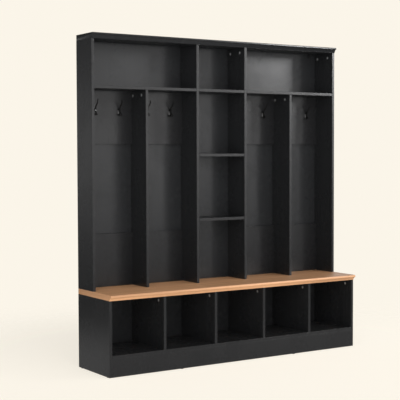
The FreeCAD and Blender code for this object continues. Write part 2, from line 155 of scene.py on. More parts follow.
def mixed(tree, kind, share, first, second):
    """A number, vector or colour between two others. A Mix node keeps sockets for each kind."""
    start, end, out = mix_sockets[kind]
    sockets = {"Factor": share, start: first, end: second}
    return add_node(tree, "Mix", sockets, data_type=kind).outputs[out]


def opaque(colour):
    """A colour as a socket takes it, with full alpha."""
    return (*colour, 1.0)


def between(tree, share, first, second):
    """A colour between two colours, each of them written down or made by another node."""
    ends = [c if isinstance(c, bpy.types.NodeSocket) else opaque(c) for c in (first, second)]
    return mixed(tree, "RGBA", share, *ends)


print("helpers for mixes: mixed, opaque, between")

# %% Places and patterns


def axes_of(tree, vector):
    """The X, Y and Z of a vector."""
    return add_node(tree, "SeparateXYZ", {0: vector}).outputs


def object_place(tree):
    """Where a point of a piece is."""
    return add_node(tree, "TexCoord").outputs["Object"]


def faced_axes(tree):
    """The X, Y and Z of the way that a surface faces."""
    return axes_of(tree, add_node(tree, "NewGeometry").outputs["Normal"])


def noise(tree, vector, scale, detail, roughness):
    """The grey output of a noise pattern."""
    sockets = {"Vector": vector, "Scale": scale, "Detail": detail, "Roughness": roughness}
    return add_node(tree, "TexNoise", sockets).outputs["Fac"]


def stretched(tree, vector, scales):
    """A vector scaled differently along each axis, so that a pattern runs along the board."""
    return add_node(tree, "Mapping", {"Vector": vector, "Scale": scales}).outputs["Vector"]


def stretched_noise(tree, vector, scales, detail, roughness):
    """A noise pattern with its own number of spots to the metre along each axis."""
    return noise(tree, stretched(tree, vector, scales), 1.0, detail, roughness)


print("helpers for patterns: axes_of, object_place, faced_axes, noise, stretched, stretched_noise")

# %% [markdown]
# ## The sides of the room
#
# Black satin shows little but reflections, so the room matters more than the lamps. In the picture the
# boards mirror a bright band at eye level, in front to the right, while the oak is lit softly from the
# camera's side. Cards and lamps could build such a room, but a world can hold all of it. The first thing it
# needs is to tell one side of the room from another: a dot product says how far a direction agrees with a
# side.

# %% Sides of the room
band_side = Vector((0.56, -0.83, 0.0))          # where the band is brightest
band_end = Vector((0.803, 0.596, 0.0))          # square to the direction where the band ends on the right
camera_side = Vector((-0.55, -0.83, 0.0))       # where the camera stands
rear_side = Vector((0.646, 0.754, 0.113))       # what the right end of the oak mirrors
soft_side = Vector((-0.20, -0.97, 0.05))        # where the soft light comes from

world = bpy.data.worlds.new("studio")
scene.world = world
world.use_nodes = True
sky = world.node_tree
sky.nodes.clear()
direction = add_node(sky, "TexCoord").outputs["Generated"]
height = axes_of(sky, direction)["Z"]


def towards(side):
    """How far a direction of the world agrees with a side of the room: 1 there, -1 opposite."""
    pair = {0: direction, 1: side.normalized()}
    return add_node(sky, "VectorMath", pair, operation="DOT_PRODUCT").outputs["Value"]


past_end, at_camera, in_front = towards(band_end), towards(camera_side), towards(band_side)
print("room: band towards", band_side[:], "and soft light from", soft_side[:])

# %% [markdown]
# ## The bright band
#
# The band lies between a dim floor and a dim ceiling. It is strongest just before its right end, is cut off
# past that end, and weakens towards the rear of the room. Each of these is one smooth ramp, on the height
# or on a side, and the ramps are multiplied. A painted picture of a room would do as well, but here every
# edge is a number that can be moved until the boards look right.

# %% Bright band
floor_level, band_level, ceiling_level = 0.10, 3.05, 0.26
band_foot, band_full, band_fade, band_gone = -0.085, 0.035, 0.042, 0.095    # heights, as a direction's Z
band_tilt = 0.010                               # the band lies lower, away from its brightest side
room_zone, front_zone = (-0.9, 0.75), (0.2, 0.6)    # where a ramp on a side starts and ends
camera_zone, end_zone, end_edge = (0.68, 0.92), (-0.16, -0.02), (-0.02, 0.02)
rear_share, camera_share = 0.23, 0.90           # of the band's strength
end_gain, end_shade = 1.05, 0.85                # added before the end, and taken off past it

turned_away = calc(sky, "SUBTRACT", 1.0, in_front)
level = calc(sky, "ADD", height, calc(sky, "MULTIPLY", turned_away, band_tilt))
in_front_share = eased(sky, in_front, *front_zone)
gain = product(sky, eased(sky, past_end, *end_zone, 0.0, end_gain), in_front_share)
shade = product(sky, eased(sky, past_end, *end_edge, 0.0, end_shade), in_front_share)
band = product(sky,
               eased(sky, level, band_foot, band_full, floor_level, band_level),
               eased(sky, level, band_fade, band_gone, 1.0, ceiling_level / band_level),
               eased(sky, in_front, *room_zone, rear_share, 1.0),
               eased(sky, at_camera, *camera_zone, 1.0, camera_share),
               calc(sky, "ADD", 1.0, gain),
               calc(sky, "SUBTRACT", 1.0, shade))
print("band:", band_level, "between a floor of", floor_level, "and a ceiling of", ceiling_level)

# %% [markdown]
# ## The backdrop behind the unit
#
# Seen almost along its surface, even matt wood mirrors what lies behind it. The right end of the seat is the
# one place where the hutch doesn't stand in the way, and there the oak goes pale. A paler colour at that end
# would be wrong from every other side, so the room gets its backdrop there, as bright as the camera sees it.

# %% Backdrop behind
backdrop_zone = (0.80, 0.97)                    # where the ramp on the rear side starts and ends

behind = eased(sky, towards(rear_side), *backdrop_zone)
room = calc(sky, "MAXIMUM", band, behind)
print("backdrop: mirrored towards", rear_side[:])

# %% [markdown]
# ## The world
#
# One world serves three kinds of ray, and Light Path tells which kind asks. The camera sees one plain
# cream. Glossy and transmitted rays see the room with its band. The rest gather a soft light, at a level
# where a colour comes out about as it is written. Separate lamps for each would cost more and be harder to
# balance.

# %% World
cream = (0.965, 0.914, 0.815)
room_white = (1.0, 0.99, 0.985)
soft_low, soft_high = 0.20, 2.6
soft_zone = (0.35, 1.0)

soft = eased(sky, towards(soft_side), *soft_zone, soft_low, soft_high)
path = add_node(sky, "LightPath").outputs
sharp = calc(sky, "MAXIMUM", path["Is Glossy Ray"], path["Is Transmission Ray"])
strength = mixed(sky, "FLOAT", sharp, soft, room)
lit = add_node(sky, "Background", {"Color": opaque(room_white), "Strength": strength}).outputs[0]
backdrop = add_node(sky, "Background", {"Color": opaque(cream), "Strength": 1.0}).outputs[0]
seen = add_node(sky, "MixShader", {0: path["Is Camera Ray"], 1: lit, 2: backdrop}).outputs[0]
add_node(sky, "OutputWorld", {"Surface": seen})
print("world: soft light from", soft_low, "to", soft_high)

# %% [markdown]
# ## The lamps
#
# Two soft boxes add what the world leaves out. A large one, far in front to the right, gives gloss only:
# the upper right compartment mirrors it as a pale patch, which the shadows of the crown and the right side
# cut off, and the crown's lip shows it as a bright line. The other hangs nearer, high on the same side, for
# the crown and the oak. A sun or a point lamp would be simpler, but the size of a box is what shapes its
# reflection. So a box is given by its size and its radiance, and its power follows from the area.

# %% Lamps
right_place, right_size, right_radiance = (7.52, -5.21, 3.52), (2.20, 2.00), 58.0
crown_place, crown_size, crown_radiance = (2.50, -2.10, 3.90), (2.20, 1.80), 2.6
upper_right, crown_right = (0.50, 0.18, 1.64), (0.40, -0.02, 1.79)


def soft_box(name, place, target, size, radiance, gloss_only=False):
    """A rectangular lamp that faces its target. One for gloss only leaves the colours as they are."""
    lamp = bpy.data.lights.new(name, "AREA")
    lamp.shape = "RECTANGLE"
    lamp.size, lamp.size_y = size
    lamp.energy = radiance * math.pi * size[0] * size[1]
    holder = bpy.data.objects.new(name, lamp)
    holder.location = place
    holder.rotation_euler = (Vector(target) - Vector(place)).to_track_quat("-Z", "Y").to_euler()
    holder.visible_camera = False
    holder.visible_diffuse = not gloss_only
    scene.collection.objects.link(holder)
    return lamp


right_box = soft_box("soft_box_right", right_place, upper_right, right_size, right_radiance, gloss_only=True)
crown_box = soft_box("soft_box_crown", crown_place, crown_right, crown_size, crown_radiance)
print("lamps:", round(right_box.energy, 1), "W and", round(crown_box.energy, 1), "W")

# %% [markdown]
# ## The floor
#
# The unit stands on a plain pale floor. A plane to the horizon would draw a line behind the unit, where its
# shade meets the backdrop. This one is a disc that fades out a few paces away, so the cream backdrop takes
# over. Most of its cream is light of its own and the rest is lit, so the shadow close to the unit stays
# soft. The boards mirror a dimmer floor than the camera sees.

# %% Floor finish
fade_start, fade_end = 1.1, 2.6                 # metres from the unit's middle
own_light_share, lit_share = 0.75, 0.45         # of the cream: what no shadow takes away, and what is lit
mirror_front, mirror_rear = -0.9, 0.2           # metres, from front to rear
front_strength, rear_strength = 0.30, 0.40      # of the floor that the boards mirror


def floor_finish():
    material = bpy.data.materials.new("pale_floor")
    material.use_nodes = True
    tree = material.node_tree
    tree.nodes.clear()
    place = object_place(tree)
    away = add_node(tree, "VectorMath", {0: place}, operation="LENGTH").outputs["Value"]
    depth = axes_of(tree, place)["Y"]
    dim = eased(tree, depth, mirror_front, mirror_rear, front_strength, rear_strength)
    mirrored = add_node(tree, "Emission", {"Color": opaque(room_white), "Strength": dim}).outputs[0]
    shadowed = add_node(tree, "BsdfDiffuse", {"Color": opaque([c * lit_share for c in cream])}).outputs[0]
    glow = add_node(tree, "Emission", {"Color": opaque(cream), "Strength": own_light_share}).outputs[0]
    plain = add_node(tree, "AddShader", {0: shadowed, 1: glow}).outputs[0]
    glossy = add_node(tree, "LightPath").outputs["Is Glossy Ray"]
    solid = add_node(tree, "MixShader", {0: glossy, 1: plain, 2: mirrored}).outputs[0]
    clear = add_node(tree, "BsdfTransparent").outputs[0]
    fade = eased(tree, away, fade_start, fade_end)
    faded = add_node(tree, "MixShader", {0: fade, 1: solid, 2: clear}).outputs[0]
    add_node(tree, "OutputMaterial", {"Surface": faded})
    return material


pale_floor = floor_finish()
print("floor finish: fades from", fade_start, "to", fade_end, "m")

# %% Floor
floor_radius, floor_sides = 3.0, 96


def add_piece(name, bm, material):
    """Makes an object of a bmesh."""
    mesh = bpy.data.meshes.new(name)
    bm.to_mesh(mesh)
    bm.free()
    piece = bpy.data.objects.new(name, mesh)
    piece.data.materials.append(material)
    scene.collection.objects.link(piece)
    return piece


bm = bmesh.new()
bmesh.ops.create_circle(bm, cap_ends=True, radius=floor_radius, segments=floor_sides)
floor = add_piece("floor", bm, pale_floor)
floor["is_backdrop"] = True
print("floor: a disc", 2 * floor_radius, "m across")

# %% [markdown]
# ## Effects that several finishes share
#
# A faced board has a fine pressed texture, which is why its reflections are soft, and lacquered metal has
# one too, only finer. The black boards also carry a pressed wood grain. Each effect could be wired into
# every material anew. As a node group it is built once, and every finish below places it with its own
# values.

# %% Groups


def new_group(name, inputs, outputs):
    """An empty node group with named sockets for numbers."""
    group = bpy.data.node_groups.new(name, "ShaderNodeTree")
    number = "NodeSocketFloat"
    for socket, value in inputs.items():
        made = group.interface.new_socket(socket, in_out="INPUT", socket_type=number)
        made.default_value = value
    for socket in outputs:
        group.interface.new_socket(socket, in_out="OUTPUT", socket_type=number)
    given = group.nodes.new("NodeGroupInput").outputs
    result = group.nodes.new("NodeGroupOutput").inputs
    return group, given, result


def place_group(tree, group, **values):
    """Puts a group in a finish, with that finish's own values."""
    made = tree.nodes.new("ShaderNodeGroup")
    made.node_tree = group
    for name, value in values.items():
        made.inputs[name].default_value = value
    return made.outputs


print("helpers for groups: new_group, place_group")

# %% Pressed skin
noise_zone = (0.3, 0.7)                         # most of a noise pattern lies between these
press_detail, press_roughness = 3.0, 0.6
cloud_scale, cloud_detail, cloud_roughness = 5.0, 4.0, 0.55
cloud_share, press_share = 0.7, 0.3


def pressed_skin():
    """Fine pressed grain, with broad cloudy changes of gloss and tone."""
    given_values = {"Grain": 900.0, "Smoothest": 0.2, "Roughest": 0.3}
    group, given, result = new_group("pressed_skin", given_values, ("Roughness", "Tone", "Height"))
    place = object_place(group)
    press = noise(group, place, given["Grain"], press_detail, press_roughness)
    cloud = noise(group, place, cloud_scale, cloud_detail, cloud_roughness)
    share = calc(group, "ADD", product(group, cloud, cloud_share), product(group, press, press_share))
    gloss = eased(group, share, *noise_zone, given["Smoothest"], given["Roughest"])
    group.links.new(gloss, result["Roughness"])
    group.links.new(eased(group, cloud, *noise_zone), result["Tone"])
    group.links.new(press, result["Height"])
    return group


skin_group = pressed_skin()
print("group:", skin_group.name, "with", len(skin_group.nodes), "nodes")

# %% [markdown]
# ## The grain of the black boards
#
# The black paper on such boards is pressed with fine lines like those of wood: upright on the uprights, and
# along the shelves on what lies flat. Two materials could do that, one for each direction. One group does
# it here, because it reads which way a face looks and turns its pattern on the faces that lie flat.

# %% Board grain
turn_zone = (0.6, 0.8)                          # how squarely a face looks along an axis
line_scales, line_detail, line_roughness = (1.0, 1.0, 0.012), 2.0, 0.55
streak_scales, streak_detail, streak_roughness = (60.0, 60.0, 1.5), 3.0, 0.6
onto_shelves = (0.0, quarter_turn, 0.0)


def along_board(tree, axis, rotation):
    """Places on a piece, turned on the faces that look along an axis, so that the grain follows the board."""
    place = object_place(tree)
    across = eased(tree, calc(tree, "ABSOLUTE", faced_axes(tree)[axis]), *turn_zone)
    turned = add_node(tree, "Mapping", {"Vector": place, "Rotation": rotation}).outputs["Vector"]
    return mixed(tree, "VECTOR", across, place, turned)


def board_grain():
    """The pressed wood grain of a faced board: fine lines along the uprights, and along the shelves."""
    group, given, result = new_group("board_grain", {"Density": 700.0}, ("Streak", "Height"))
    along = along_board(group, "Z", onto_shelves)
    fine = stretched(group, along, line_scales)
    lines = noise(group, fine, given["Density"], line_detail, line_roughness)
    streak = stretched_noise(group, along, streak_scales, streak_detail, streak_roughness)
    group.links.new(eased(group, streak, *noise_zone), result["Streak"])
    group.links.new(lines, result["Height"])
    return group


grain_group = board_grain()
print("group:", grain_group.name, "with", len(grain_group.nodes), "nodes")

# %% [markdown]
# ## Finishes with a relief
#
# Every finish is one Principled BSDF. What differs over the surface is linked into it, and what doesn't,
# such as the index of refraction, is set on the shader itself. A fine height becomes a bumped normal: real
# displacement would need far more faces for the same look.

# %% New finishes
plain_index = 1.5


def new_finish(name, index=plain_index):
    """A material with one Principled BSDF, and its tree."""
    material = bpy.data.materials.new(name)
    material.use_nodes = True
    skin = material.node_tree.nodes["Principled BSDF"]
    skin.inputs["IOR"].default_value = index
    return material, material.node_tree, skin.inputs


def raise_relief(tree, sockets, height, strength, depth):
    """Turns a height into a bumped normal."""
    bump = add_node(tree, "Bump", {"Height": height, "Strength": strength, "Distance": depth})
    tree.links.new(bump.outputs["Normal"], sockets["Normal"])


print("helpers for finishes: new_finish, raise_relief")

# %% [markdown]
# ## Black boards
#
# The carcass is faced board: a black paper set in resin, pressed to a satin, with edging of nearly the same
# colour. Almost all that the eye sees of it is the room's reflection, so the colour is very dark, and the
# roughness does the work: too smooth and the bays become mirrors, too rough and the soft edges of the
# dividers' reflections disappear. A flat black would do from afar, but the pressed grain gives the boards
# their scale.

# %% Black faces
board_black = (0.0154, 0.0161, 0.0172)
streak_gain = 1.18
board_index = 1.45
press_grain, satin_smoothest, satin_roughest = 850.0, 0.24, 0.30
grain_density, grain_relief, grain_depth = 700.0, 1.0, 0.00016


def faced_board(tree):
    """What the faces of all the black boards share: roughness, height of the grain, and colour."""
    skin = place_group(tree, skin_group, Grain=press_grain,
                       Smoothest=satin_smoothest, Roughest=satin_roughest)
    grain = place_group(tree, grain_group, Density=grain_density)
    colour = between(tree, grain["Streak"], board_black, [c * streak_gain for c in board_black])
    return skin["Roughness"], grain["Height"], colour


print("black faces: roughness", satin_smoothest, "to", satin_roughest)

# %% [markdown]
# ## Wear and dust
#
# Hands and bags rub the arrises, the narrow rounded edges between square faces, and nobody wipes the top of
# the crown. Wear could be painted by hand. Here the arrises are found by their normals, which agree with no
# axis, and the dusty face by its height and by looking straight up.

# %% Rubbed arrises
flat_share, rounded_share = 0.985, 0.90         # how squarely a flat face and an arris look along an axis
underside_zone = (-0.15, -0.05)
rub_scale, rub_detail, rub_roughness = 22.0, 4.0, 0.65
rub_zone = (0.35, 0.65)


def rubbed_arris():
    """Marks the narrow rounded arrises between a board's square faces, broken up as rubbing is."""
    group, given, result = new_group("rubbed_arris", {"Amount": 0.5}, ("Mask",))
    axes = faced_axes(group)
    sizes = [calc(group, "ABSOLUTE", axis) for axis in axes]
    flatness = calc(group, "MAXIMUM", calc(group, "MAXIMUM", sizes[0], sizes[1]), sizes[2])
    patches = noise(group, object_place(group), rub_scale, rub_detail, rub_roughness)
    mask = product(group, eased(group, flatness, flat_share, rounded_share),
                   eased(group, axes["Z"], *underside_zone),
                   eased(group, patches, *rub_zone), given["Amount"])
    group.links.new(mask, result["Mask"])
    return group


arris_group = rubbed_arris()
print("group:", arris_group.name, "with", len(arris_group.nodes), "nodes")

# %% Dust
dust_reach, dust_full = 0.010, 0.002            # metres below the crown's top
crown_top = cad_high.z
upward_zone = (0.95, 0.995)
dust_scale, dust_detail, dust_cloud_roughness = 9.0, 5.0, 0.6
dust_zone, thinnest_dust = (0.2, 0.6), 0.85


def dust_on_top(tree):
    """Nearly 1 on the crown's upper face, where a cloudy pattern thins it, and 0 elsewhere."""
    place = object_place(tree)
    upward = eased(tree, faced_axes(tree)["Z"], *upward_zone)
    on_top = eased(tree, axes_of(tree, place)["Z"], crown_top - dust_reach, crown_top - dust_full)
    clouds = noise(tree, place, dust_scale, dust_detail, dust_cloud_roughness)
    return product(tree, upward, on_top, eased(tree, clouds, *dust_zone, thinnest_dust, 1.0))


print("dust: above", round(crown_top - dust_reach, 4), "m")

# %% Black boards
board_worn, board_dusty = (0.022, 0.022, 0.0225), (0.026, 0.025, 0.024)
edging_black = (0.0120, 0.0122, 0.0130)
edging_zone = (-0.9, -0.98)                     # faces that look to the front
wear_amount, dust_roughness = 0.55, 0.62


def black_board():
    """Satin black, with a trace darker edging to the front, rubbed arrises, and dust on the crown."""
    material, tree, sockets = new_finish("black_board", board_index)
    roughness, height, faced = faced_board(tree)
    dust = dust_on_top(tree)
    worn = place_group(tree, arris_group, Amount=wear_amount)["Mask"]
    edged = between(tree, eased(tree, faced_axes(tree)["Y"], *edging_zone), faced, edging_black)
    rubbed = between(tree, worn, edged, board_worn)
    tree.links.new(between(tree, dust, rubbed, board_dusty), sockets["Base Color"])
    tree.links.new(calc(tree, "ADD", roughness, product(tree, dust, dust_roughness)), sockets["Roughness"])
    raise_relief(tree, sockets, height, grain_relief, grain_depth)
    return material


finishes = {"black_board": black_board()}
print("finishes:", sorted(finishes))

# %% [markdown]
# ## Back panels
#
# The thin panels are fibreboard, faced on one side only. From the front they look like the other boards,
# and from behind they show raw dark fibres. Two materials on one piece would need its faces sorted first,
# so one material asks which way a face looks.

# %% Back panels
rear_zone = (0.5, 0.9)                          # faces that look to the rear
fibre_dark, fibre_pale = (0.014, 0.012, 0.011), (0.036, 0.030, 0.025)
fibre_scales, fibre_detail, fibre_roughness = (240.0, 240.0, 90.0), 5.0, 0.7
raw_roughness = 0.42                            # added to the roughness of the face


def black_back_panel():
    """Satin black to the front, raw dark fibreboard to the rear."""
    material, tree, sockets = new_finish("black_back_panel", board_index)
    roughness, height, faced = faced_board(tree)
    rear = eased(tree, faced_axes(tree)["Y"], *rear_zone)
    fibres = stretched_noise(tree, object_place(tree), fibre_scales, fibre_detail, fibre_roughness)
    raw = between(tree, fibres, fibre_dark, fibre_pale)
    tree.links.new(between(tree, rear, faced, raw), sockets["Base Color"])
    tree.links.new(calc(tree, "ADD", roughness, product(tree, rear, raw_roughness)), sockets["Roughness"])
    relief = calc(tree, "ADD", height, product(tree, fibres, rear))
    raise_relief(tree, sockets, relief, grain_relief, grain_depth)
    return material


finishes["black_back_panel"] = black_back_panel()
print("finishes:", sorted(finishes))

# %% [markdown]
# ## Oak
#
# The seat is oak with its grain along the length, under a matt lacquer. Oak shows three scales at once:
# broad streaks a few centimetres wide, fine lines, and open pores, which are dark dashes a few millimetres
# long. A photograph of oak would show them all, but would repeat along the seat. The same noise serves for
# all three, stretched along the board by different amounts. On the two ends the pattern is turned, because
# the edging there has its grain along the edge.

# %% Oak finish
oak_light, oak_middle, oak_dark = (0.690, 0.372, 0.190), (0.520, 0.273, 0.135), (0.380, 0.192, 0.092)
oak_streak_scales, oak_streak_detail, oak_streak_roughness = (1.3, 30.0, 30.0), 4.0, 0.55
oak_line_scales, oak_line_detail, oak_line_roughness = (4.0, 190.0, 190.0), 3.0, 0.6
pore_scales, pore_detail, pore_roughness = (55.0, 1500.0, 1500.0), 2.0, 0.5
oak_streak_zone, oak_line_zone, pore_zone = (0.32, 0.68), (0.48, 0.75), (0.60, 0.72)
line_share, pore_share, line_height_share = 0.35, 0.45, 0.3
lacquer_smoothest, lacquer_roughest = 0.40, 0.52
oak_relief, oak_depth = 0.25, 0.0002
onto_ends = (0.0, 0.0, quarter_turn)


def oak_top():
    material, tree, sockets = new_finish("oak_top", board_index)
    along = along_board(tree, "X", onto_ends)
    streaks = stretched_noise(tree, along, oak_streak_scales, oak_streak_detail, oak_streak_roughness)
    lines = stretched_noise(tree, along, oak_line_scales, oak_line_detail, oak_line_roughness)
    pores = eased(tree, stretched_noise(tree, along, pore_scales, pore_detail, pore_roughness), *pore_zone)
    ground = between(tree, eased(tree, streaks, *oak_streak_zone), oak_light, oak_middle)
    lined = between(tree, eased(tree, lines, *oak_line_zone, 0.0, line_share), ground, oak_dark)
    pored = between(tree, product(tree, pores, pore_share), lined, oak_dark)
    tree.links.new(pored, sockets["Base Color"])
    lacquer = eased(tree, lines, *noise_zone, lacquer_smoothest, lacquer_roughest)
    tree.links.new(lacquer, sockets["Roughness"])
    relief = calc(tree, "SUBTRACT", product(tree, lines, line_height_share), pores)
    raise_relief(tree, sockets, relief, oak_relief, oak_depth)
    return material


finishes["oak_top"] = oak_top()
print("oak: grain along X, roughness", lacquer_smoothest, "to", lacquer_roughest)

# %% [markdown]
# ## Metal, plastic and beech
#
# The small fittings differ in colour, in how metallic they are and in how rough: black lacquer on the
# hooks, black steel for screws that show, plating for those that don't, bare zinc for the cam locks. A flat
# colour would pass for most of them at this size. Each gets the pressed skin at a fine grain all the same,
# so that it holds up close. The dowels are plain beech with short fibres.

# %% Fittings of metal and plastic
fitting_depth = 0.0001


def grey(tone):
    return (tone,) * 3


def fitting(name, dark, pale, metallic, smoothest, roughest, grain, relief, index=plain_index):
    """A finish that clouds softly between two colours, with a fine surface."""
    material, tree, sockets = new_finish(name, index)
    skin = place_group(tree, skin_group, Grain=grain, Smoothest=smoothest, Roughest=roughest)
    tree.links.new(between(tree, skin["Tone"], dark, pale), sockets["Base Color"])
    sockets["Metallic"].default_value = metallic
    tree.links.new(skin["Roughness"], sockets["Roughness"])
    raise_relief(tree, sockets, skin["Height"], relief, fitting_depth)
    finishes[name] = material


fitting("black_hook_metal", dark=grey(0.0010), pale=grey(0.0016), metallic=0.0,
        smoothest=0.10, roughest=0.15, grain=1500.0, relief=0.05, index=1.75)
fitting("black_screw_steel", dark=grey(0.03), pale=grey(0.06), metallic=0.6,
        smoothest=0.28, roughest=0.42, grain=2500.0, relief=0.08)
fitting("black_bracket_steel", dark=grey(0.008), pale=grey(0.012), metallic=0.0,
        smoothest=0.35, roughest=0.5, grain=1200.0, relief=0.12)
fitting("plated_steel", dark=(0.60, 0.60, 0.57), pale=(0.70, 0.69, 0.65), metallic=1.0,
        smoothest=0.26, roughest=0.42, grain=2500.0, relief=0.08)
fitting("cam_zinc", dark=(0.56, 0.56, 0.57), pale=(0.70, 0.70, 0.71), metallic=0.7,
        smoothest=0.40, roughest=0.55, grain=1800.0, relief=0.15)
fitting("shelf_pin_steel", dark=grey(0.09), pale=grey(0.14), metallic=1.0,
        smoothest=0.25, roughest=0.4, grain=2500.0, relief=0.08)
fitting("glide_plastic", dark=grey(0.012), pale=grey(0.018), metallic=0.0,
        smoothest=0.42, roughest=0.58, grain=1200.0, relief=0.15)
print("finishes:", sorted(finishes))

# %% Beech
beech_dark, beech_pale = (0.42, 0.25, 0.13), (0.58, 0.38, 0.22)
fleck_scales, fleck_detail, fleck_roughness = (300.0, 900.0, 900.0), 3.0, 0.6
beech_smoothest, beech_roughest, beech_relief = 0.55, 0.7, 0.2


def dowel_beech():
    material, tree, sockets = new_finish("dowel_beech")
    flecks = stretched_noise(tree, object_place(tree), fleck_scales, fleck_detail, fleck_roughness)
    tree.links.new(between(tree, flecks, beech_dark, beech_pale), sockets["Base Color"])
    tree.links.new(eased(tree, flecks, *noise_zone, beech_smoothest, beech_roughest), sockets["Roughness"])
    raise_relief(tree, sockets, flecks, beech_relief, fitting_depth)
    return material


finishes["dowel_beech"] = dowel_beech()
print("beech: roughness", beech_smoothest, "to", beech_roughest)

# %% [markdown]
# ## Finishes on the solids
#
# The record names a finish for every solid. Assigning them by hand would take sixty lines, and one would be
# forgotten, so a loop goes through the record.

# %% Place the finishes
for row in frame["record"]["subparts"]:
    holder = cad_nodes[row["node"]]
    if not holder.material_slots:
        holder.data.materials.append(None)
    for slot in holder.material_slots:
        slot.material = finishes[row["material_slot"]]

# %% [markdown]
# ## The outline of the moulding
#
# The oak seat and the black crown have the same moulding along the front: a rounded lip, a small step
# called a quirk, and a slope with a slight hollow back to a narrow toe. A list of points could trace it.
# Here it is drawn as a cabinet maker would, corner by corner, with a line or an arc to each, and a spin for
# every arc.

# %% Outline
hollow_share = 0.05                             # depth of the hollow, as a share of its length
arc_steps = 10


def draw_line(bm, corner, y, z):
    """Draws the outline on to a new corner."""
    made = bmesh.ops.extrude_vert_indiv(bm, verts=[corner])["verts"][0]
    made.co = (corner.co.x, y, z)
    return made


def draw_arc(bm, corner, y, z, angle):
    """Draws the outline on along an arc about a centre."""
    centre = (corner.co.x, y, z)
    made = bmesh.ops.spin(bm, geom=[corner], cent=centre, axis=(1, 0, 0), angle=angle, steps=arc_steps)
    return next(item for item in made["geom_last"] if isinstance(item, bmesh.types.BMVert))


def draw_hollow(bm, corner, y, z):
    """Draws the outline on along a hollow arc to a corner behind and below."""
    start, end = Vector((corner.co.y, corner.co.z)), Vector((y, z))
    chord = end - start
    sag = chord.length * hollow_share
    radius = (chord.length ** 2 / 4 + sag ** 2) / (2 * sag)
    inward = Vector((-chord.y, chord.x)).normalized()
    centre = (start + end) / 2 + inward * (sag - radius)
    return draw_arc(bm, corner, centre.x, centre.y, -2 * math.asin(chord.length / (2 * radius)))


print("outline: arcs of", arc_steps, "steps")

# %% [markdown]
# ## Moulded boards
#
# CAD gives the moulding in a few flat facets, with ends as sharp as a knife. Smoothing the CAD mesh would
# round the wrong edges. So the outline becomes a face, the face is pulled out along the board, and a bevel
# eases the two ends.

# %% Moulded boards
lip_over, lip_under, quirk = 0.006, 0.004, 0.002
over_share, under_share = 0.55, 0.35            # the most of the lip's height that its two roundings take
toe_reach, toe_rise, nosing = 0.002, 0.0005, 0.020
oak_lip, crown_lip = 0.014, 0.011
end_ease, ease_steps = 0.0007, 2
weld = 1e-6
smooth_angle = math.radians(32)


def moulded_outline(bm, low, high, lip):
    """Draws the closed outline at the board's left end, from the rear along the top to the front and back."""
    over, under = min(lip_over, lip * over_share), min(lip_under, lip * under_share)
    lip_foot, toe = high.z - lip, low.y + nosing - toe_reach
    first = bmesh.ops.create_vert(bm, co=(low.x, high.y, high.z))["vert"][0]
    corner = draw_line(bm, first, low.y + over, high.z)
    corner = draw_arc(bm, corner, low.y + over, high.z - over, quarter_turn)
    corner = draw_line(bm, corner, low.y, lip_foot + under)
    corner = draw_arc(bm, corner, low.y + under, lip_foot + under, quarter_turn)
    corner = draw_line(bm, corner, low.y + under + quirk, lip_foot)
    corner = draw_hollow(bm, corner, toe, low.z + toe_rise)
    corner = draw_line(bm, corner, toe, low.z)
    corner = draw_line(bm, corner, high.y, low.z)
    bmesh.ops.contextual_create(bm, geom=[corner, first])


def moulded_board(name, lip, slot):
    low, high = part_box(name)
    bm = bmesh.new()
    moulded_outline(bm, low, high, lip)
    bmesh.ops.contextual_create(bm, geom=bm.edges[:])
    pulled = bmesh.ops.extrude_face_region(bm, geom=bm.faces[:])["geom"]
    moved = [item for item in pulled if isinstance(item, bmesh.types.BMVert)]
    bmesh.ops.translate(bm, verts=moved, vec=(high.x - low.x, 0, 0))
    bmesh.ops.remove_doubles(bm, verts=bm.verts[:], dist=weld)
    bmesh.ops.recalc_face_normals(bm, faces=bm.faces[:])
    ends = [edge for edge in bm.edges if edge.verts[0].co.x == edge.verts[1].co.x]
    bmesh.ops.bevel(bm, geom=ends, offset=end_ease, segments=ease_steps, profile=0.5, affect="EDGES",
                    material=-1)
    piece = add_piece(name + "_moulded", bm, finishes[slot])
    piece.data.shade_smooth()
    piece.data.set_sharp_from_angle(angle=smooth_angle)
    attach(piece, "carcass")
    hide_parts(name)
    print(piece.name, len(piece.data.polygons), "faces")


moulded_board("bench_top", oak_lip, "oak_top")
moulded_board("crown_board", crown_lip, "black_board")

# %% [markdown]
# ## The hook's plate
#
# Each hook is one zinc casting, and it starts with an oval plate that is domed right across. A sphere
# pressed flat would be domed but round. So a circle is parted into an oval and pulled out, its rim gets a
# bevel that reaches almost to the middle, and the whole is pressed to a low dome on a thin straight rim.

# %% Hook plate
plate_width, plate_height, plate_rim, plate_dome = 0.020, 0.038, 0.0011, 0.0034
plate_drop = 0.002                              # the plate's lower end is the longer one
plate_sides, dome_steps = 40, 10
dome_share, nearly_share = 0.49, 0.99           # under a half, so that the bevel's sides don't meet


